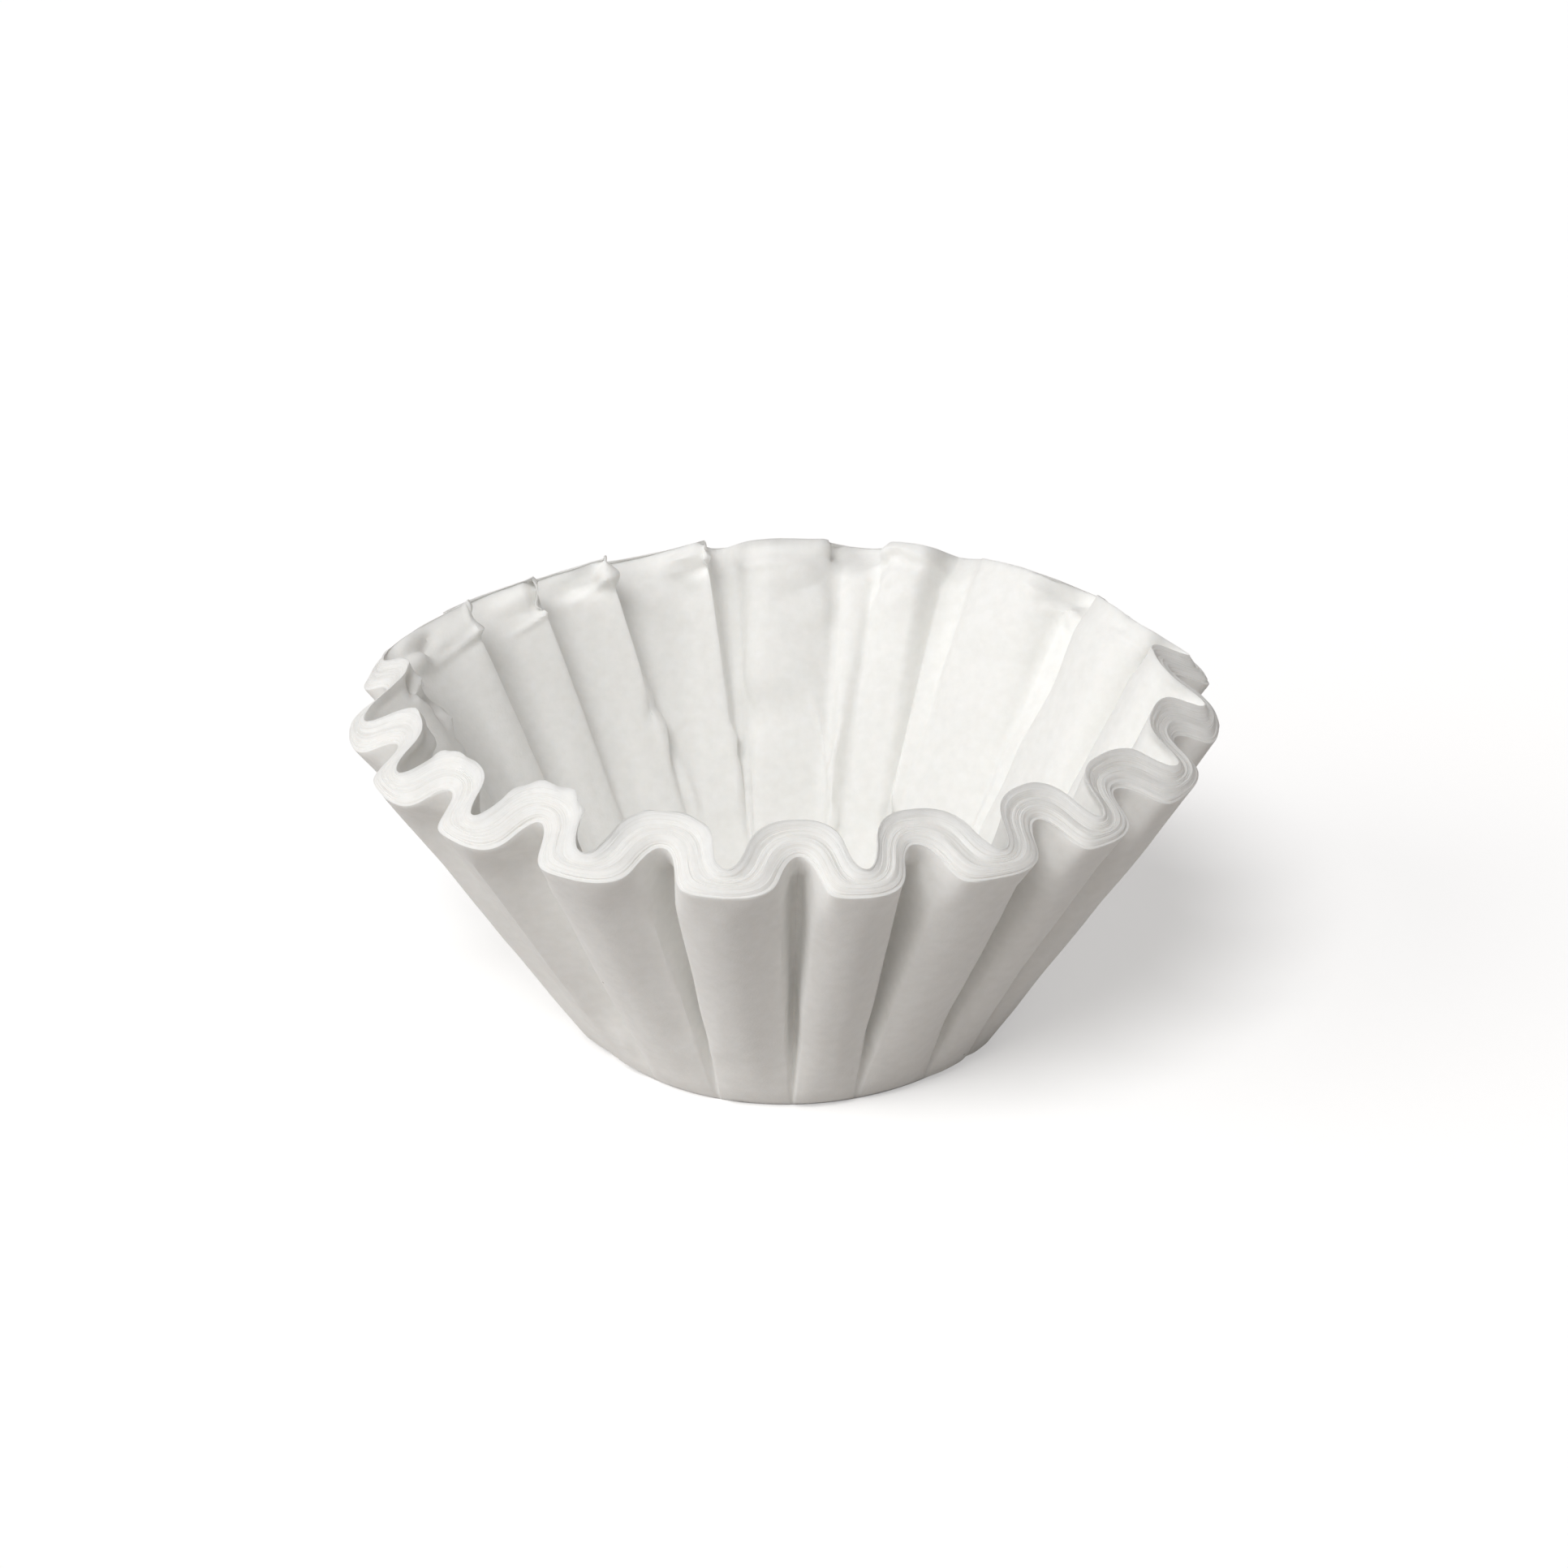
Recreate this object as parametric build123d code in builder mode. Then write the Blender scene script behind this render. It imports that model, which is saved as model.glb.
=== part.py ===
# Nested stack of fluted basket coffee filters, standing on its flat base.
# Millimetres, +Z up, origin at the centre of the underside.
import os
from math import cos, radians, sin, sqrt, tan

from build123d import *

# One filter laid out flat, and the way the outermost one stands
sheet_diameter = 250.0
base_diameter = 93.0
rim_diameter = 177.0

# All the nested sheets together: through the floor and the wall, and at the cut edges,
# where they are squeezed in the crests and stand further apart in the folds
floor_thickness = 5.0
wall_thickness = 6.0
crest_thickness = 4.8
fold_thickness = 6.6

# How far the innermost sheet slides up past the outermost one when they are bent
edge_slip = 1.6

# The cut edges lie in bundles: how far each line across them stands up from a
# straight cut, from the outermost sheet to the innermost
edge_lifts = (0.0, 0.6, 0.0, 0.6)

# Flutes in order around the rim, one row for each inward fold and the crest after it:
# direction of the fold in degrees, its depth, the crest's place as a share of the way to
# the next fold, how far the crest stands out, how far the rim is pulled up at the fold,
# and how sharply the innermost sheet is pinched there, from 0 to 1
flutes = [
    (5.5, 7.5, 0.45, 2.0, 0.0, 0.0),
    (22.5, 7.0, 0.58, 0.5, 0.8, 0.0),
    (47.5, 7.0, 0.79, 0.0, 0.2, 0.0),
    (66.5, 7.5, 0.45, 0.0, -1.0, 0.0),
    (90.5, 7.5, 0.72, 0.0, -0.8, 0.0),
    (104.3, 9.0, 0.75, 0.0, -0.6, 1.0),
    (122.5, 9.5, 0.70, 0.0, -1.2, 1.0),
    (136.8, 9.0, 0.68, 0.0, -1.1, 1.0),
    (153.0, 8.0, 0.45, 0.3, 0.0, 1.0),
    (181.0, 7.5, 0.50, 0.0, 0.3, 0.5),
    (200.0, 7.5, 0.50, 0.0, 0.0, 0.2),
    (218.1, 7.7, 0.50, 0.0, 0.0, 0.0),
    (235.1, 9.2, 0.50, 0.0, 0.0, 0.0),
    (253.6, 9.0, 0.50, 0.0, 0.0, 0.0),
    (272.0, 8.6, 0.53, 0.0, 0.0, 0.0),
    (287.5, 9.2, 0.57, 0.0, 0.0, 0.0),
    (306.5, 9.0, 0.52, 0.0, -0.3, 0.0),
    (322.0, 8.2, 0.57, 0.0, -0.3, 0.0),
    (342.8, 7.6, 0.53, 0.0, -0.3, 0.0),
]

# Where the rim turns from the bottom of a fold into its steep side, and from there
# into the crest, as shares of half a flute: on the outermost sheet, on the innermost
# one, and on the innermost one where it is pinched to a sharp ridge
outer_turns = (0.17, 0.39)
inner_turns = (0.62, 0.84)
pinched_turns = (0.02, 0.50)

# The wall has the same slant everywhere, as the paper cannot stretch
slant = (sheet_diameter - base_diameter) / 2
base_radius = base_diameter / 2
rim_radius = rim_diameter / 2
run = rim_radius - base_radius
rim_height = sqrt(slant**2 - run**2)

# The floor ends where it meets the inside of the wall
floor_radius = base_radius + (floor_thickness * run - wall_thickness * slant) / rim_height


def at(angle, radius, height):
    return Vector(radius * cos(radians(angle)), radius * sin(radians(angle)), height)


def blend(first, last, share):
    return first + share * (last - first)


def rim_point(angle, depth, lift, thickness, line):
    """A point on one of the lines that run around the cut edges."""
    layer = line / (len(edge_lifts) - 1)
    radius = rim_radius - depth
    height = sqrt(slant**2 - (radius - base_radius) ** 2)
    inset = (thickness * rim_height - edge_slip * run) / slant
    rise = (thickness * run + edge_slip * rim_height) / slant
    return at(angle, radius - layer * inset, height + layer * rise + lift + edge_lifts[line])


def rim_curves(fold, crest, pinch, line):
    """Points of the rim's two bends from the bottom of a fold to the crest beside it."""
    layer = line / (len(edge_lifts) - 1)
    turns = []
    for outer, inner, pinched in zip(outer_turns, inner_turns, pinched_turns):
        share = blend(outer, blend(inner, pinched, pinch), layer)
        turns.append(fold[0] + share * (crest[0] - fold[0]))
    bottom = rim_point(*fold, line)
    low = rim_point(turns[0], *fold[1:], line)
    high = rim_point(turns[1], *crest[1:], line)
    top = rim_point(*crest, line)
    middle = (low + high) / 2
    return [[bottom, low, middle], [middle, high, top]]


def foot_curve(start, end, radius, height):
    """Curve points of an arc at the foot of the wall."""
    handle = 4 / 3 * tan(radians(end - start) / 4)
    first = at(start, radius, height)
    last = at(end, radius, height)
    return [
        first,
        first + handle * at(start + 90, radius, 0),
        last - handle * at(end + 90, radius, 0),
        last,
    ]


def patch(first, second):
    return Face.make_bezier_surface([first, second])


def fan(point, curve):
    """Paper that runs out straight from a point to a curve."""
    return patch([point] * len(curve), curve)


# Folds and crests turn about: each has a direction, a depth, a lift and a thickness
folds = []
crests = []
for count, (angle, depth, place, reach, lift, _) in enumerate(flutes):
    next_angle, *_, next_lift, _ = flutes[(count + 1) % len(flutes)]
    turn = place * ((next_angle - angle) % 360)
    folds.append((angle, depth, lift, fold_thickness))
    crests.append((angle + turn, -reach, (lift + next_lift) / 2, crest_thickness))

innermost = len(edge_lifts) - 1
faces = []
base_edges = []
floor_edges = []
with BuildLine():
    for count, fold in enumerate(folds):
        crest = crests[count]
        crest_before = crests[count - 1]
        pinch = flutes[count][-1]
        if count == 0:
            crest_before = (crest_before[0] - 360, *crest_before[1:])
        base_fold = at(fold[0], base_radius, 0)
        floor_crest = at(crest[0], floor_radius, floor_thickness)
        floor_crest_before = at(crest_before[0], floor_radius, floor_thickness)

        # Both sides of the fold: outside, over the cut edges and inside
        for side, floor_point in ((crest_before, floor_crest_before), (crest, floor_crest)):
            rim = [rim_curves(fold, side, pinch, line) for line in range(len(edge_lifts))]
            for bend in (0, 1):
                faces.append(fan(base_fold, rim[0][bend]))
                faces.append(fan(floor_point, rim[-1][bend]))
                for outer, inner in zip(rim, rim[1:]):
                    faces.append(patch(outer[bend], inner[bend]))

        # The rest of the wall stands on the arcs between the folds and the crests
        next_fold = folds[(count + 1) % len(folds)][0]
        if next_fold < fold[0]:
            next_fold += 360
        base_arc = foot_curve(fold[0], next_fold, base_radius, 0)
        floor_arc = foot_curve(crest_before[0], crest[0], floor_radius, floor_thickness)
        faces.append(fan(rim_point(*crest, 0), base_arc))
        faces.append(fan(rim_point(*fold, innermost), floor_arc))
        base_edges.append(Bezier(*base_arc, mode=Mode.PRIVATE).edge())
        floor_edges.append(Bezier(*floor_arc, mode=Mode.PRIVATE).edge())

faces.append(Face(Wire(base_edges)))
faces.append(Face(Wire(floor_edges)))

with BuildPart() as filter_stack:
    add(Solid(Shell(faces)))
filter_stack.part.label = "filter_stack"

os.makedirs("parts", exist_ok=True)
export_step(filter_stack.part, "parts/filter_stack.step")
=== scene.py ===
import bpy
import numpy as np
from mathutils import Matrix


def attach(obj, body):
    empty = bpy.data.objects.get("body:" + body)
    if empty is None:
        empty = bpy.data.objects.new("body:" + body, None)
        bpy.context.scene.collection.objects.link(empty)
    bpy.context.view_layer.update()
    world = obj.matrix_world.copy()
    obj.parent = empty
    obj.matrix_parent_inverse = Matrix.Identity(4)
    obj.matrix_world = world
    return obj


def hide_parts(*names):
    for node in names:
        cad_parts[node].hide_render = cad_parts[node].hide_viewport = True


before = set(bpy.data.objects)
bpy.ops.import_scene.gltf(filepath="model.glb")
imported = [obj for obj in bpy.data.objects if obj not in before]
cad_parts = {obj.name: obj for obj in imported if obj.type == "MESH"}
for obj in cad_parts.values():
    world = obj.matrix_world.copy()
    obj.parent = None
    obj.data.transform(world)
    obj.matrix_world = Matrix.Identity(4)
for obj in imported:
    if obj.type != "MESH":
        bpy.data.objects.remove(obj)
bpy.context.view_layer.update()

mm = 0.001

# Driving sizes, the same as the part's own
sheet_diameter = 250.0 * mm
base_diameter = 93.0 * mm
rim_diameter = 177.0 * mm
floor_thickness = 5.0 * mm
wall_thickness = 6.0 * mm
crest_thickness = 4.8 * mm
fold_thickness = 6.6 * mm
edge_slip = 1.6 * mm
edge_lifts = np.array((0.0, 0.6, 0.0, 0.6)) * mm   # across the cut edges, outermost to innermost

# Fold direction in degrees, fold depth in mm, crest place, crest reach and rim lift in mm, how sharply
# the innermost sheets are pinched in the fold, from 0 to 1, and by how many degrees their ridge leans.
# At the back a few directions, lifts and pinches differ slightly from the part's.
flutes = np.array([
    (5.5, 7.5, 0.45, 2.0, 0.0, 0.0, 0.0),
    (22.5, 7.0, 0.58, 0.5, 0.8, 0.0, 0.0),
    (47.5, 7.0, 0.79, 0.0, 0.2, 0.2, 0.0),
    (66.5, 7.5, 0.45, 0.0, -0.1, 0.2, 0.0),
    (90.5, 7.5, 0.72, 0.0, -0.8, 0.2, 0.0),
    (103.8, 9.0, 0.75, 0.0, -0.6, 1.0, -2.3),
    (122.1, 9.5, 0.70, 0.0, -1.2, 1.0, -5.0),
    (136.8, 9.0, 0.68, 0.0, -1.1, 1.0, -2.0),
    (153.0, 8.0, 0.45, 0.3, 0.0, 1.0, 0.0),
    (181.0, 7.5, 0.50, 0.0, 0.3, 0.5, 0.0),
    (200.0, 7.5, 0.50, 0.0, 0.0, 0.2, 0.0),
    (218.1, 7.7, 0.50, 0.0, 0.0, 0.0, 0.0),
    (235.1, 9.2, 0.50, 0.0, 0.0, 0.0, 0.0),
    (253.6, 9.0, 0.50, 0.0, 0.0, 0.0, 0.0),
    (272.0, 8.6, 0.53, 0.0, 0.0, 0.0, 0.0),
    (287.5, 9.2, 0.57, 0.0, 0.0, 0.0, 0.0),
    (306.5, 9.0, 0.52, 0.0, -0.3, 0.0, 0.0),
    (322.0, 8.2, 0.57, 0.0, -0.3, 0.0, 0.0),
    (342.8, 7.6, 0.53, 0.0, -0.3, 0.0, 0.0),
])
outer_turns = np.array((0.17, 0.39))     # where the rim bends between a fold and a crest
inner_turns = np.array((0.62, 0.84))     # the same on the innermost sheet
pinched_turns = np.array((0.02, 0.50))   # and where that sheet is pinched to a sharp ridge
corner_pulls = 2.2, 1.2                  # outermost corners left and right of a crest: 1 is a plain curve
crest_rise = 0.1 * mm                    # how far the crests beside sharp ridges stand up
fan_spread = 2.4                         # how closely the wall's straight lines draw together at the foot

slant = (sheet_diameter - base_diameter) / 2
base_radius = base_diameter / 2
rim_radius = rim_diameter / 2
run = rim_radius - base_radius
rim_height = np.sqrt(slant**2 - run**2)
floor_radius = base_radius + (floor_thickness * run - wall_thickness * slant) / rim_height

# Mesh density
steps = 20            # columns in half a flute
wall_rows = 30
edge_rows = 34        # rows across the cut edges
crumple_rows = 20     # rows inside, near the rim
inner_rows = 34       # rows inside, further down
sharp_angle = 42      # degrees between faces that shade with an edge

# Creases in the outer wall: direction, way down from the rim, tilt, length, width and height, in degrees
# and mm
outer_creases = (
    (243, 62, 78, 5, 1.2, 0.6), (262, 64, 70, 5, 1.4, -0.7), (229, 66, 60, 4, 1.2, 0.7),
    (225, 55, 95, 4, 1.0, 0.6), (291, 58, 20, 7, 1.2, 0.5), (310, 60, 15, 8, 1.2, 0.5),
    (30, 50, 80, 5, 1.2, 0.6), (75, 62, 60, 5, 1.4, 0.7), (118, 58, 100, 5, 1.2, 0.6),
    (152, 64, 75, 4, 1.2, 0.7), (186, 60, 95, 5, 1.2, -0.6), (341, 62, 70, 5, 1.2, 0.6),
)

# Creases in the inner wall, in the same way
inner_creases = (
    (157, 7.5, 80, 9, 1.5, 0.7), (126, 6.0, 70, 5, 1.2, 0.7), (108, 5.0, 85, 6, 1.2, 0.6),
    (120.5, 40.0, 8, 8, 2.0, 0.9), (116.5, 52.0, -14, 9, 2.0, 0.9), (103.5, 52.0, 2, 9, 2.0, 0.9),
    (84, 44.0, -20, 10, 1.6, 1.0), (79, 52.0, 15, 8, 1.6, 0.9), (75, 59.0, 90, 9, 1.2, 0.6),
    (38.4, 6.5, 88, 7, 1.4, 0.8), (69.5, 9.0, 25, 7, 1.6, 0.8), (72, 3.5, 60, 5, 1.2, 0.6),
    (66, 3.0, -60, 5, 1.2, 0.6), (139, 9.0, 75, 6, 1.2, 0.7), (95, 64.0, 80, 8, 1.2, 0.6),
)

# Crushed spots in the inner wall: direction, way down from the rim, width, height, slope and seed
inner_crumples = (
    # ridge tips and the rim beside them
    (153, 3.0, 3, 4, 1.0, 21), (156, 5.5, 6, 4, 0.5, 22), (137, 2.5, 3, 4, 1.1, 23),
    (140, 5.0, 6, 3, 0.5, 24), (122.7, 2.5, 3, 4, 1.1, 25), (126, 4.5, 6, 3, 0.6, 26),
    (104.8, 2.5, 3, 3, 1.0, 27), (108.5, 4.5, 6, 3, 0.5, 28), (84, 1.8, 4, 2.5, 0.8, 29),
    (92, 3.5, 7, 3, 0.4, 30), (69, 3.0, 5, 3, 0.6, 31), (38, 5.5, 6, 3, 0.8, 32),
    (45, 3.0, 4, 3, 0.7, 33), (163, 4.0, 4, 4, 1.1, 34), (171, 6.0, 4, 4, 1.1, 35),
    (181, 5.0, 3, 4, 1.2, 36), (120.5, 35.0, 4, 8, 0.5, 37), (102, 45.0, 4, 6, 0.6, 38),
    (20, 4.0, 4, 4, 0.6, 39), (199, 4.0, 4, 4, 0.7, 40), (178, 13.0, 3, 5, 1.1, 41),
    (178, 24.0, 3, 4, 0.7, 42), (217, 3.0, 3, 3, 0.7, 43), (236, 2.5, 3, 2, 0.6, 44),
    # soft dents in the back wall
    (87, 12.0, 6, 7, 0.30, 51), (70, 11.0, 5, 6, 0.35, 52), (112, 14.0, 5, 6, 0.25, 53),
    (48, 22.0, 9, 12, 0.22, 54), (30, 28.0, 9, 12, 0.22, 55), (94, 34.0, 8, 10, 0.22, 56),
    # near the floor
    (82, 62.0, 9, 5, 0.5, 45), (100, 64.0, 8, 4, 0.4, 46), (55, 62.0, 9, 5, 0.4, 47),
)


def polar(angle, radius, height):
    """Points, or directions, by their angle around the axis, radius and height."""
    return np.stack(np.broadcast_arrays(radius * np.cos(angle), radius * np.sin(angle), height), axis=-1)


def outward(angle):
    """The direction out of the wall, square to its mean slope."""
    return polar(angle, rim_height / slant, -run / slant)


def turned(grid, angle):
    """A grid of points with each one turned around the axis by its own angle."""
    x, y, z = np.moveaxis(grid, -1, 0)
    cosine, sine = np.cos(angle), np.sin(angle)
    return np.stack((x * cosine - y * sine, x * sine + y * cosine, z), axis=-1)


def smooth(value):
    """From 0 to 1 as the value does, with no corner at either end."""
    value = np.clip(value, 0, 1)
    return value**2 * (3 - 2 * value)


def near(angle, middle, width):
    """1 at the middle direction, falling smoothly to 0 on both sides. Middle and width are in degrees."""
    turn = np.mod(np.degrees(angle) - middle + 180, 360) - 180
    return np.exp(-((turn / width) ** 2))


def by_row(rows, places, values):
    """One value for each row of a grid, read from a short table."""
    return np.interp(rows, places, values)[:, None]


def normals(grid):
    """Unit normals of a grid of rows that is closed around its columns."""
    around = np.roll(grid, -1, axis=1) - np.roll(grid, 1, axis=1)
    normal = np.cross(around, np.gradient(grid, axis=0))
    return normal / np.linalg.norm(normal, axis=-1, keepdims=True)


def columns():
    """Fold, crest and place between them for every column of the mesh, once around."""
    degree = np.pi / 180
    angle, depth, crest_place, reach, lift, pinch, lean = (flutes * (degree, mm, 1, mm, mm, 1, degree)).T
    gap = np.mod(np.roll(angle, -1) - angle, 2 * np.pi)
    pinch_beside = (pinch + np.roll(pinch, -1)) / 2
    lift_beside = (lift + np.roll(lift, -1)) / 2 + crest_rise * pinch_beside
    lean_beside = lean + crest_place * (np.roll(lean, -1) - lean)
    rising = np.arange(steps) / steps
    found = []
    for crest in range(len(flutes)):
        before, after = crest, (crest + 1) % len(flutes)
        sides = (
            (before, crest_place[crest] * gap[crest], rising),
            (after, (crest_place[crest] - 1) * gap[crest], 1 - rising),
        )
        for fold, turn, places in sides:
            for place in places:
                ridge_lean = lean[fold] + (lean_beside[crest] - lean[fold]) * smooth(place)
                found.append((
                    angle[fold], depth[fold], lift[fold], pinch[fold], ridge_lean, turn,
                    gap[crest], -reach[crest], lift_beside[crest], pinch_beside[crest], place,
                ))
    return np.array(found).T


# For every column: its fold, the turn from there to its crest, the whole flute's turn, its crest, and
# its share of the way from the fold to the crest
(
    fold_angle, fold_depth, fold_lift, fold_pinch, floor_lean, half_turn,
    flute_turn, crest_depth, crest_lift, crest_pinch, share,
) = columns()
before_crest = half_turn > 0   # left of its crest, seen from outside
direction = np.mod(fold_angle + share * half_turn, 2 * np.pi)


def rim_point(angle, depth, lift, thickness, layer):
    """A point on the cut edges at one layer."""
    radius = rim_radius - depth
    height = np.sqrt(slant**2 - (radius - base_radius) ** 2)
    inset = (thickness * rim_height - edge_slip * run) / slant
    rise = (thickness * run + edge_slip * rim_height) / slant
    lip = np.interp(layer, np.linspace(0, 1, len(edge_lifts)), edge_lifts)
    return polar(angle, radius - layer * inset, height + layer * rise + lift + lip)


def rim_line(layer):
    """The line around the cut edges at one layer: 0 is the outermost sheet and 1 the innermost."""
    innermost = inner_turns[:, None] + fold_pinch * (pinched_turns - inner_turns)[:, None]
    fold_turn, crest_turn = outer_turns[:, None] + layer * (innermost - outer_turns[:, None])
    fold_side = (fold_depth, fold_lift, fold_thickness, layer)
    crest_side = (crest_depth, crest_lift, crest_thickness, layer)
    bottom = rim_point(fold_angle, *fold_side)
    low = rim_point(fold_angle + fold_turn * half_turn, *fold_side)
    high = rim_point(fold_angle + crest_turn * half_turn, *crest_side)
    top = rim_point(fold_angle + half_turn, *crest_side)
    middle = (low + high) / 2

    # Two bends: from the bottom to the middle, and from there to the top
    first_bend = share < 0.5
    start, turn, end = (
        np.where(first_bend[:, None], first, second)
        for first, second in ((bottom, middle), (low, high), (middle, top))
    )
    corner = 1 + (1 - layer) * (np.where(before_crest, *corner_pulls) - 1)
    pull = np.where(first_bend, 1, corner)[:, None]
    along = np.where(share == 1, 1, np.mod(2 * share, 1))[:, None]
    weights = (1 - along) ** 2, 2 * along * (1 - along) * pull, along**2
    return (weights[0] * start + weights[1] * turn + weights[2] * end) / sum(weights)


def wander(seed, around, across, rows):
    """Smooth random values from -1 to 1 that close on themselves around the filter.

    There is one row for each place in rows, from 0 to 1, and one column for each mesh column.
    """
    lattice = np.random.default_rng(seed).uniform(-1, 1, (across + 2, around))
    u, v = direction / (2 * np.pi) * around, np.asarray(rows) * across
    i, j = np.floor(u).astype(int), np.floor(v).astype(int)
    a, b = smooth(u - i)[None, :], smooth(v - j)[:, None]
    left, right = i % around, (i + 1) % around
    low = lattice[j][:, left] * (1 - a) + lattice[j][:, right] * a
    high = lattice[j + 1][:, left] * (1 - a) + lattice[j + 1][:, right] * a
    return low * (1 - b) + high * b


def uneven(rows, *fields):
    """Random fields added up: the height in mm, seed, and number of values around and across of each."""
    return sum(height * mm * wander(seed, around, across, rows) for height, seed, around, across in fields)


def spot(angle, down, rows_down, radius):
    """Distances in mm from a spot on a wall, around the wall and down it."""
    turn = np.mod(direction - np.radians(angle) + np.pi, 2 * np.pi) - np.pi
    return turn[None, :] * radius / mm, np.broadcast_to(rows_down[:, None] / mm - down, radius.shape)


def crease(angle, down, tilt, length, width, height, rows_down, radius):
    """A folded line in a wall: a sharp ridge (height above 0) or valley, fading out at both ends."""
    aside, below = spot(angle, down, rows_down, radius)
    cosine, sine = np.cos(np.radians(tilt)), np.sin(np.radians(tilt))
    along = below * cosine + aside * sine
    across = aside * cosine - below * sine
    profile = np.clip(1 - np.abs(across) / width, 0, None)
    return height * mm * profile * np.exp(-((along / length) ** 4))


def crumple(angle, down, wide, tall, slope, seed, rows_down, radius):
    """Paper crushed into flat facets around a spot, fading out with distance."""
    aside, below = spot(angle, down, rows_down, radius)
    facets = 6
    hill, dale = (
        np.max([a * aside + b * below + 0.5 * c * wide for a, b, c in planes], axis=0)
        for planes in np.random.default_rng(seed).uniform(-1, 1, (2, facets, 3))
    )
    fade = np.exp(-(((aside / wide) ** 2 + (below / tall) ** 2) ** 2))
    return slope * mm * (hill - dale) * fade


# Outer wall, from its foot up to the cut edges, straight from foot to rim. The foot is a little out of
# round: drawn in at the left and pressed out in front.
foot_angle = fold_angle + half_turn * share**fan_spread
drawn_in = 2.0 * mm * near(foot_angle, 213, 25)
pressed_out = 1.0 * mm * near(foot_angle, 272, 30)
foot_radius = base_radius - drawn_in + pressed_out
foot = polar(foot_angle, foot_radius, 0.0)
climb = np.append(np.linspace(0.02, 0.985, wall_rows - 2) ** 0.9, (0.993, 1.0))
outer = foot + climb[:, None, None] * (rim_line(0.0) - foot)

# Below the rim the flutes are round columns, each with a full left side, a right side that slopes away,
# and a narrow crevice before the next one
column_lean = 0.05          # share of a flute by which the columns lie further left
crevice_packing = 1.8       # above 1, the mesh's columns lie closer together in the crevices
column_gain = 1.14          # how much deeper the columns are than the folds of the rim
crevice_gain = 4.2 * mm     # how much deeper than that the crevices are
crevice_round = 0.75        # share of its depth that is rounded: the rest comes to a sharp line
full_side_share = 0.3       # share of the depth outside the crevice, on the full side
sloping_side_share = 0.36   # the same on the sloping side
groove_share = 0.72         # how nearly the grooves on the left of the front lose their crevices
straight_share = 0.85       # how nearly the wall on the right keeps straight

toward_crest = share**crevice_packing
column_angle = fold_angle + toward_crest * (half_turn - column_lean * flute_turn)
column_rim = rim_radius - toward_crest * crest_depth
column_lift = fold_lift + toward_crest * (crest_lift - fold_lift)
column_height = np.sqrt(slant**2 - (column_rim - base_radius) ** 2) + column_lift
column_radius = foot_radius + climb[:, None] * (column_rim - foot_radius)
column = polar(column_angle, column_radius, climb[:, None] * column_height)

# How deep each place lies: 0 on the crest and 1 at the bottom of the crevice
crevice_share = by_row(climb, (0, 0.3, 0.9), (0.12, 0.18, 0.27))
into_crevice = 1 - toward_crest / crevice_share
crevice = crevice_round * smooth(into_crevice / 0.7)
crevice += (1 - crevice_round) * np.clip(into_crevice, 0, None)
aside = np.clip((1 - toward_crest) / (1 - 0.5 * crevice_share), 0, 1)
full_side = full_side_share * aside**2.5 + (1 - full_side_share) * crevice
sloping_side = sloping_side_share * smooth(aside) + (1 - sloping_side_share) * crevice

# On the left of the front there are wide grooves in place of crevices
groove_weight = np.clip(1.1 * near(fold_angle, 226, 14), 0, groove_share)
sloping_side += groove_weight * (1 - toward_crest**2.2 - sloping_side)

# Crevices are shallow where the inner wall leaves little room, and end before the rim and the foot
shallow = np.maximum(0.8 * fold_pinch, 0.9 * near(fold_angle, 220, 25))
crevice_depth = crevice_gain * (1 - shallow) * by_row(climb, (0, 0.3, 0.86, 1), (0.1, 1, 1, 0))
column_depth = column_gain * climb[:, None] * fold_depth + crevice_depth
column_depth = column_depth * np.where(before_crest, full_side, sloping_side)
column = column - column_depth[..., None] * outward(column_angle)

# The wall stays straight at the rim, and nearly so on the right
on_right = near(column_angle, 338, 28)
rounded = by_row(climb, (0, 0.25, 0.88, 0.99), (0.3, 1, 1, 0)) * (1 - straight_share * on_right)
outer += rounded[..., None] * (column - outer)

outer_down = slant * (1 - climb)
outer_radius = np.linalg.norm(outer[..., :2], axis=-1)
outer_relief = uneven(climb, (0.30, 1, 26, 4), (0.14, 2, 90, 7), (0.05, 3, 260, 14))
for marks in outer_creases:
    outer_relief += crease(*marks, outer_down, outer_radius)

# Cut edges of the sheets, in bundles that stand higher or lower
layers = np.linspace(0, 1, edge_rows + 2)[1:-1]
edges = np.stack([rim_line(layer) for layer in layers])
drift = 0.06 * wander(4, 34, 1, [0.5])[0]


def drifting(seed, around, across):
    """A random field over the cut edges whose lines wander a little across them."""
    fields = []
    for column_index, shift in enumerate(drift):
        fields.append(wander(seed, around, across, np.clip(layers + shift, 0, 1))[:, column_index])
    return np.stack(fields, axis=1)


bundles = 0.15 * mm * drifting(5, 60, 12)
sheets = 0.06 * mm * drifting(6, 150, 34)
ribs = 0.03 * mm * np.where(np.arange(edge_rows) % 2, 1, -1)[:, None]
edge_relief = bundles + sheets + ribs
edge_relief[1:3] -= 0.12 * mm   # a groove just inside the outermost sheets

# Inner wall, from the cut edges down to the floor. The innermost edges are ragged in three places.
ragged_share = 0.15          # how far they stick out, as a share of the rim's thickness
front_swell = -0.6 * mm      # how far the folds bulge into the bowl between their sides, in front
back_swell = 2.0 * mm        # and at the back
valley_rise = 4.0 * mm       # how far the valleys at the back are filled below the rim
pinched_rise = 1.6 * mm      # and between sharp ridges
broad_valley_rise = 4.0 * mm   # how much further one broad valley is filled
tuck_share = 0.15            # share of half a flute by which the valleys in front narrow
press_depth = 4.4 * mm       # how far the folds on the left of the front are pressed back

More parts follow.
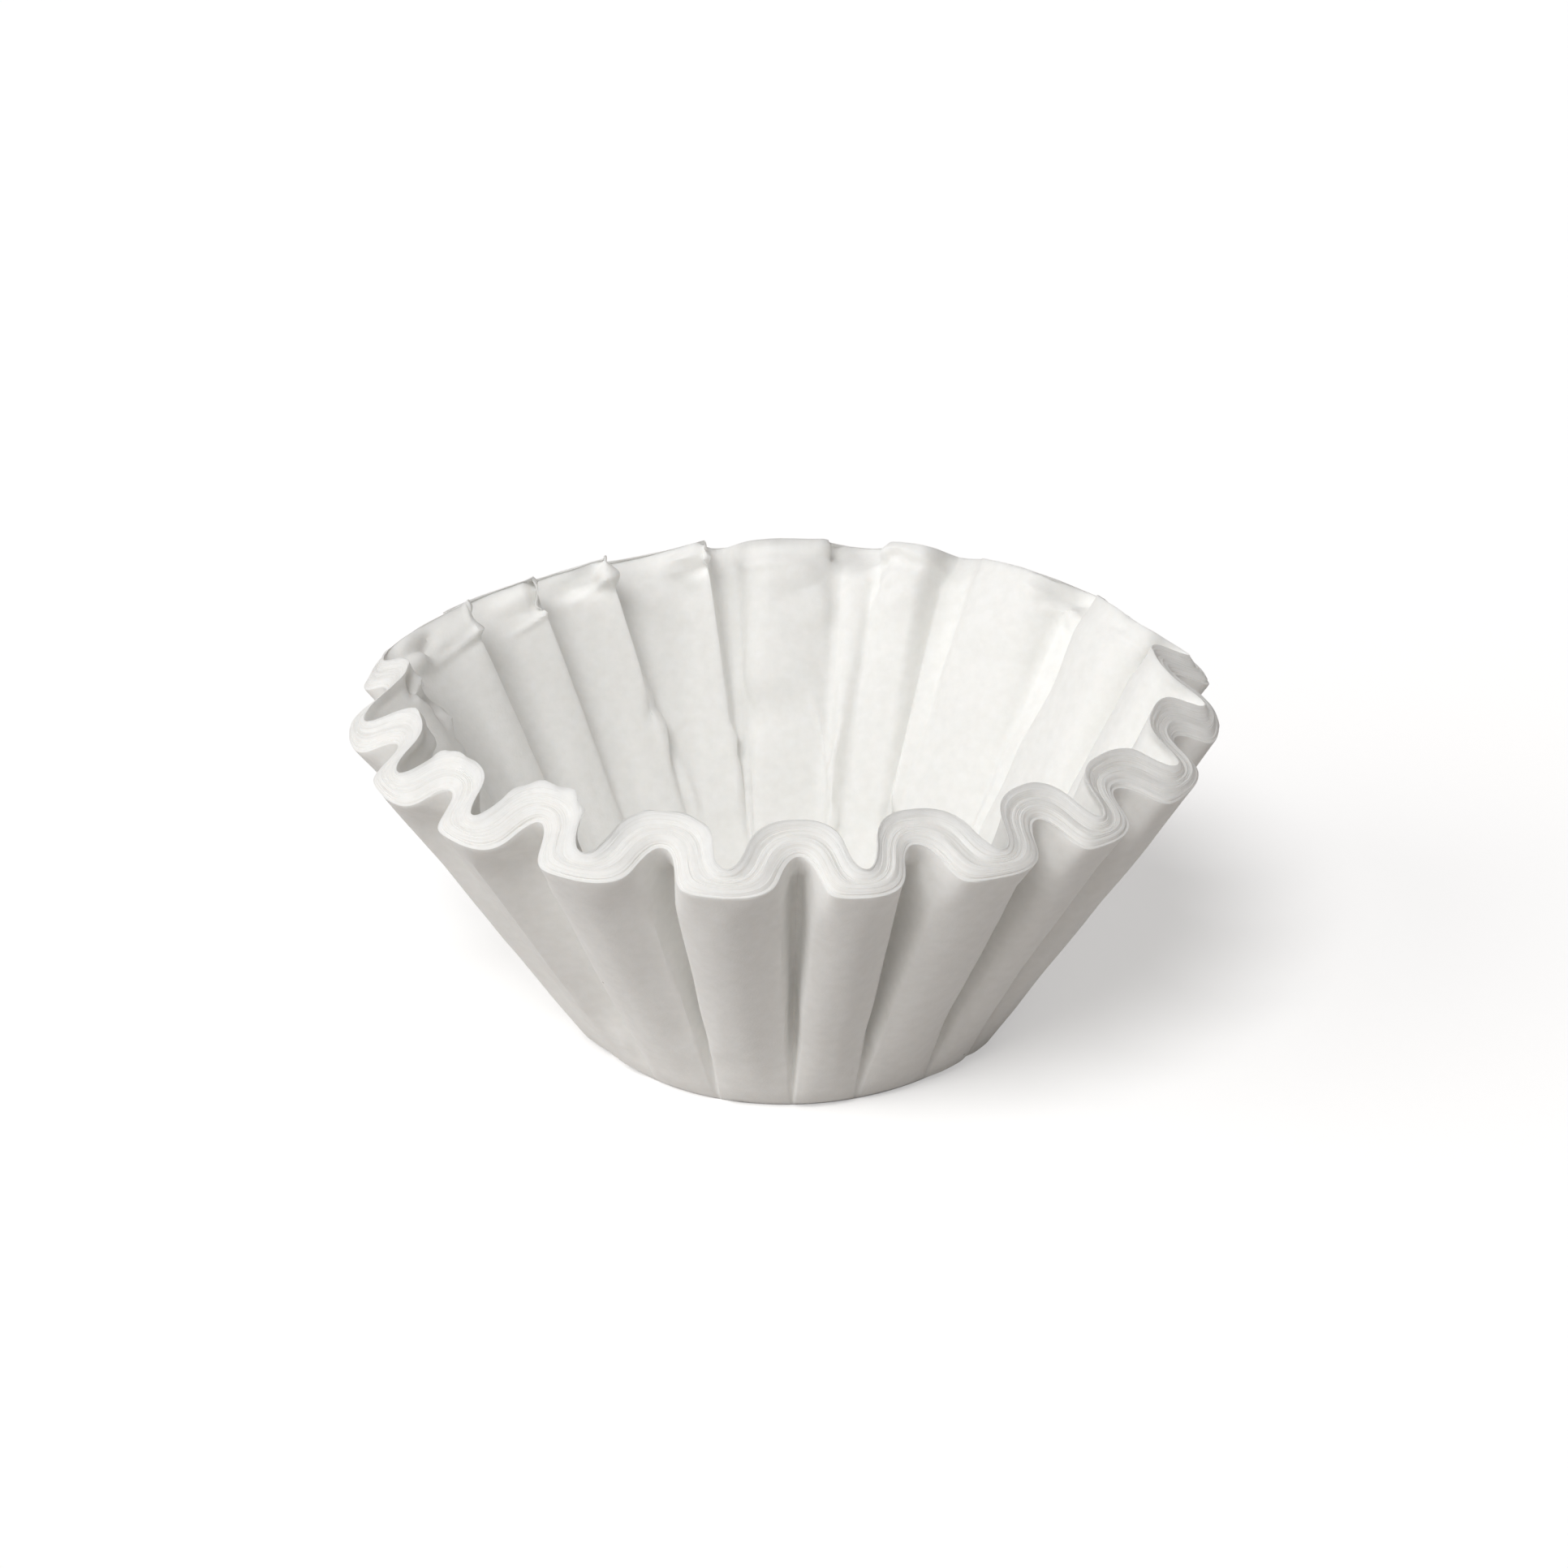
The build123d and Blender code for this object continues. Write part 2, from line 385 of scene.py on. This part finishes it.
floor_foot_angle = fold_angle + half_turn * (1 - (1 - share) ** fan_spread) + floor_lean
floor_foot = polar(floor_foot_angle, floor_radius, floor_thickness)
descent = np.concatenate([
    (0, 0.004), np.linspace(0.01, 0.15, crumple_rows), np.linspace(0.17, 0.985, inner_rows)
])
ragged = near(direction, 217, 4) + near(direction, 236, 5) + near(direction, 254, 6)
inner_rim = rim_line(1 + ragged_share * ragged * np.clip(wander(12, 300, 1, [0.5])[0], 0, None))
inner = inner_rim + descent[:, None, None] * (floor_foot - inner_rim)
inner = turned(inner, floor_lean * (descent * (1 - descent))[:, None])

# The folds are softly round between their sides, and flatter in front
at_back = np.clip(0.5 + 1.5 * np.sin(direction), 0, 1)
below_rim = smooth(descent / 0.12)[:, None] * by_row(descent, (0.7, 1), (1, 0))
fold_swell = (front_swell + (back_swell - front_swell) * at_back) * (1 - fold_pinch)
fold_swell = fold_swell * np.clip(1 - (share / 0.7) ** 2, 0, None)
inner -= (below_rim * fold_swell)[..., None] * outward(fold_angle)

# The valleys between them grow shallower below the rim, one most of all, and open outwards close to it
crest_angle = fold_angle + half_turn
valley = (0.5 - 0.5 * np.cos(np.pi * share)) ** 2
valley_fill = valley_rise + (pinched_rise - valley_rise) * crest_pinch
valley_fill = at_back * (valley_fill + broad_valley_rise * near(crest_angle, 77, 4)) * below_rim
flare = crest_pinch * mm * (np.clip(1 - descent / 0.1, 0, None) ** 2)[:, None]
inner -= ((valley_fill - flare) * valley)[..., None] * outward(crest_angle)

# In front they narrow below the rim, out of sight under the cut edges
tuck = tuck_share * half_turn * np.sin(np.pi * share) * (at_back - 1)
inner = turned(inner, tuck * by_row(descent, (0, 0.03, 0.3, 0.6), (0, 1, 1, 0)))

# On the left of the front the folds are pressed back against the wall
pressed = press_depth * near(fold_angle, 222, 25) * (0.5 + 0.5 * np.cos(np.pi * share))
pressed = pressed * by_row(descent, (0, 0.08, 0.35, 0.6), (0, 1, 1, 0))
inner += pressed[..., None] * outward(fold_angle)

inner_down = slant * descent
inner_radius = np.linalg.norm(inner[..., :2], axis=-1)
inner_relief = uneven(descent, (0.35, 7, 30, 3), (0.18, 8, 110, 6), (0.06, 9, 300, 16))
for marks in inner_crumples:
    inner_relief += crumple(*marks, inner_down, inner_radius)
for marks in inner_creases:
    inner_relief += crease(*marks, inner_down, inner_radius)

# Floor inside and underside
rings = np.array((0.97, 0.9, 0.78, 0.62, 0.44, 0.26, 0.1))
under_rings = 0.1, 0.5, 0.9, 0.975
floor_dip = 0.5 * mm
floor = np.stack([
    polar(floor_foot_angle, floor_radius * ring, floor_thickness - floor_dip * (1 - ring)) for ring in rings
])
floor_relief = uneven(rings, (0.25, 10, 16, 5), (0.08, 11, 70, 9))
under = np.stack([polar(foot_angle, foot_radius * ring, 0.0) for ring in under_rings])
under_relief = np.zeros(under.shape[:2])

grid = np.concatenate([under, outer, edges, inner, floor])
relief = np.concatenate([under_relief, outer_relief, edge_relief, inner_relief, floor_relief])
points = grid + relief[..., None] * normals(grid)
points[..., 2] = np.clip(points[..., 2], 0, None)
points[: len(under), :, 2] = 0


def closed_mesh(name, rows, under_centre, floor_centre):
    """Quads between the rows, and a fan of triangles to the middle of the underside and of the floor."""
    height, width = rows.shape[:2]
    vertices = [under_centre, *rows.reshape(-1, 3), floor_centre]
    index = 1 + np.arange(height * width).reshape(height, width)
    after = np.roll(index, -1, axis=1)
    quads = np.stack([index[:-1], after[:-1], after[1:], index[1:]], axis=-1).reshape(-1, 4)
    first = [(0, b, a) for a, b in zip(index[0], after[0])]
    last = [(a, b, len(vertices) - 1) for a, b in zip(index[-1], after[-1])]
    mesh = bpy.data.meshes.new(name)
    mesh.from_pydata([tuple(v) for v in vertices], [], first + quads.tolist() + last)
    mesh.validate()
    mesh.shade_smooth()
    mesh.set_sharp_from_angle(angle=np.radians(sharp_angle))
    piece = bpy.data.objects.new(name, mesh)
    bpy.context.scene.collection.objects.link(piece)
    return piece


filter_paper = closed_mesh("filter_paper", points, (0, 0, 0), (0, 0, floor_thickness - floor_dip))

# How far across the cut edges each point lies: 0 on the outer wall and base, 1 on the inner wall and floor
layer_of_row = np.concatenate([
    np.zeros(len(under) + len(outer)), layers, np.ones(len(inner) + len(floor))
])
across_edges = filter_paper.data.attributes.new("across_edges", "FLOAT", "POINT")
across_edges.data.foreach_set("value", np.concatenate([[0], np.repeat(layer_of_row, len(share)), [1]]))

# Looks of the paper
cloud_dark, cloud_light = (0.895, 0.893, 0.870), (0.940, 0.938, 0.916)
speck_color = (0.42, 0.40, 0.37)
# Painted shade in the fine gaps between the sheets' cut edges: a darker tone along lines there, and no
# change between them
sheet_gap_shade, sheet_gap_unshaded = (0.93, 0.922, 0.91), (1, 1, 1)   # multiplies the colour along the cut edges
cloud_scale = 420      # values to the metre
fuzz_scale = 1500
speck_scale = 75
speck_size = 0.02      # share of the distance between specks
line_scale = 70.0      # along the rim, values to the metre
line_count = 44.0      # across the cut edges


def paper():
    """Soft unglazed paper: cloudy, fuzzy, with a rare dark speck, and lined along its cut edges, where
    bumps and painted shade mark the gaps between the sheets.
    """
    material = bpy.data.materials.new("paper")
    material.use_nodes = True
    nodes, links = material.node_tree.nodes, material.node_tree.links
    shader = nodes["Principled BSDF"]
    shader.inputs["Roughness"].default_value = 0.92
    shader.inputs["Specular IOR Level"].default_value = 0.2
    shader.inputs["Subsurface Weight"].default_value = 0.5
    shader.inputs["Subsurface Radius"].default_value = (1.0, 0.92, 0.85)
    shader.inputs["Subsurface Scale"].default_value = 1.8 * mm
    position = nodes.new("ShaderNodeTexCoord").outputs["Object"]

    def noise(scale, detail, vector):
        node = nodes.new("ShaderNodeTexNoise")
        node.inputs["Scale"].default_value = scale
        node.inputs["Detail"].default_value = detail
        links.new(vector, node.inputs["Vector"])
        return node.outputs["Fac"]

    def ramp(fac, low, low_color, high, high_color):
        node = nodes.new("ShaderNodeValToRGB")
        node.color_ramp.elements[0].position = low
        node.color_ramp.elements[0].color = (*low_color, 1)
        node.color_ramp.elements[1].position = high
        node.color_ramp.elements[1].color = (*high_color, 1)
        links.new(fac, node.inputs["Fac"])
        return node.outputs["Color"]

    def math(operation, *values):
        node = nodes.new("ShaderNodeMath")
        node.operation = operation
        for socket, value in zip(node.inputs, values):
            if isinstance(value, (int, float)):
                socket.default_value = value
            else:
                links.new(value, socket)
        return node.outputs[0]

    def mix(kind, fac, first, second):
        node = nodes.new("ShaderNodeMix")
        node.data_type = "RGBA"
        node.blend_type = kind
        links.new(fac, node.inputs["Factor"])
        links.new(first, node.inputs["A"])
        if isinstance(second, tuple):
            node.inputs["B"].default_value = (*second, 1)
        else:
            links.new(second, node.inputs["B"])
        return node.outputs["Result"]

    tone = ramp(noise(cloud_scale, 5, position), 0.3, cloud_dark, 0.7, cloud_light)
    specks = nodes.new("ShaderNodeTexVoronoi")
    specks.inputs["Scale"].default_value = speck_scale
    links.new(position, specks.inputs["Vector"])
    tone = mix("MIX", math("LESS_THAN", specks.outputs["Distance"], speck_size), tone, speck_color)

    # Lines along the cut edges: noise that is long around the rim and fine across the sheets. It darkens
    # the colour there as painted shade in the gaps between the sheets, and raises bumps.
    attribute = nodes.new("ShaderNodeAttribute")
    attribute.attribute_name = "across_edges"
    across = attribute.outputs["Fac"]
    split = nodes.new("ShaderNodeSeparateXYZ")
    links.new(position, split.inputs[0])
    lengthwise = nodes.new("ShaderNodeCombineXYZ")
    links.new(math("MULTIPLY", split.outputs["X"], line_scale), lengthwise.inputs["X"])
    links.new(math("MULTIPLY", split.outputs["Y"], line_scale), lengthwise.inputs["Y"])
    links.new(math("MULTIPLY", across, line_count), lengthwise.inputs["Z"])
    lines = noise(1, 3, lengthwise.outputs[0])
    inside = math("MULTIPLY", across, math("SUBTRACT", 1.0, across))
    on_edges = math("MINIMUM", math("MULTIPLY", inside, 30.0), 1.0)
    # Painted shade: the lines darken the colour where the sheets' edges meet
    tone = mix("MULTIPLY", on_edges, tone, ramp(lines, 0.32, sheet_gap_shade, 0.5, sheet_gap_unshaded))
    links.new(tone, shader.inputs["Base Color"])

    fuzz = noise(fuzz_scale, 6, position)
    bump = nodes.new("ShaderNodeBump")
    bump.inputs["Strength"].default_value = 0.7
    bump.inputs["Distance"].default_value = 0.15 * mm
    height = math("ADD", math("MULTIPLY", fuzz, 0.5), math("MULTIPLY", lines, on_edges))
    links.new(height, bump.inputs["Height"])
    links.new(bump.outputs["Normal"], shader.inputs["Normal"])
    return material


filter_paper.data.materials.append(paper())
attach(filter_paper, "root")
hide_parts("filter_stack")

# Studio: a white floor that keeps the shadow, a soft key light, a low light from the left, and pale light
# all around
floor_size = 12
floor_white = (0.85, 0.85, 0.85, 1)        # as the camera sees it
floor_glow = 0.40
floor_bounce = (0.61, 0.586, 0.566, 1)     # as it lights the paper
sky_color = (1, 0.945, 0.91, 1)
sky_strength = 0.2


def where_seen(tree, unseen, seen):
    """The second shader where the camera looks straight at it or at its reflection, and else the first."""
    ray = tree.nodes.new("ShaderNodeLightPath")
    looking = tree.nodes.new("ShaderNodeMath")
    looking.operation = "MAXIMUM"
    tree.links.new(ray.outputs["Is Camera Ray"], looking.inputs[0])
    tree.links.new(ray.outputs["Is Glossy Ray"], looking.inputs[1])
    either = tree.nodes.new("ShaderNodeMixShader")
    tree.links.new(looking.outputs[0], either.inputs["Fac"])
    tree.links.new(unseen.outputs[0], either.inputs[1])
    tree.links.new(seen.outputs[0], either.inputs[2])
    return either.outputs[0]


def floor_material():
    """White to the camera apart from the shadow, and a middling grey in the light that it throws back."""
    material = bpy.data.materials.new("studio_floor")
    material.use_nodes = True
    tree = material.node_tree
    tree.nodes.remove(tree.nodes["Principled BSDF"])
    grey = tree.nodes.new("ShaderNodeBsdfDiffuse")
    grey.inputs["Color"].default_value = floor_bounce
    white = tree.nodes.new("ShaderNodeBsdfDiffuse")
    white.inputs["Color"].default_value = floor_white
    glow = tree.nodes.new("ShaderNodeEmission")
    glow.inputs["Strength"].default_value = floor_glow
    lit = tree.nodes.new("ShaderNodeAddShader")
    tree.links.new(white.outputs[0], lit.inputs[0])
    tree.links.new(glow.outputs[0], lit.inputs[1])
    tree.links.new(where_seen(tree, grey, lit), tree.nodes["Material Output"].inputs["Surface"])
    return material


bpy.ops.mesh.primitive_plane_add(size=floor_size, location=(0, 0, 0))
studio_floor = bpy.context.object
studio_floor.name = "studio_floor"
studio_floor.data.materials.append(floor_material())


def soft_sun(name, energy, softness, azimuth, elevation):
    """A wide, even light. Azimuth 0 comes from the viewer's side and 90 from the viewer's left."""
    lamp = bpy.data.objects.new(name, bpy.data.lights.new(name, "SUN"))
    lamp.data.energy = energy
    lamp.data.angle = np.radians(softness)
    lamp.rotation_euler = (np.radians(90 - elevation), 0, np.radians(-azimuth))
    bpy.context.scene.collection.objects.link(lamp)


soft_sun("key_light", energy=1.66, softness=28, azimuth=22, elevation=52)
soft_sun("side_light", energy=1.0, softness=50, azimuth=68, elevation=21)


def studio_world():
    """White behind the floor, and a faint warm light from all around."""
    world = bpy.data.worlds.new("studio")
    world.use_nodes = True
    tree = world.node_tree
    sky = tree.nodes["Background"]
    sky.inputs["Color"].default_value = sky_color
    sky.inputs["Strength"].default_value = sky_strength
    backdrop = tree.nodes.new("ShaderNodeBackground")
    backdrop.inputs["Color"].default_value = (1, 1, 1, 1)
    backdrop.inputs["Strength"].default_value = 1
    tree.links.new(where_seen(tree, sky, backdrop), tree.nodes["World Output"].inputs["Surface"])
    return world


bpy.context.scene.world = studio_world()

# Camera at the photograph's angle: straight from the front, looking down on the bowl
camera_elevation = np.radians(24.41)
camera_distance = 708 * mm
camera_target_height = 49.5 * mm
camera = bpy.data.objects.new("camera", bpy.data.cameras.new("camera"))
camera.data.lens = 78.68
camera.data.sensor_width = 36
camera.location = (
    0,
    -camera_distance * np.cos(camera_elevation),
    camera_target_height + camera_distance * np.sin(camera_elevation),
)
camera.rotation_euler = (np.pi / 2 - camera_elevation, 0, 0)
bpy.context.scene.collection.objects.link(camera)
bpy.context.scene.camera = camera
bpy.context.scene.view_settings.view_transform = "Standard"
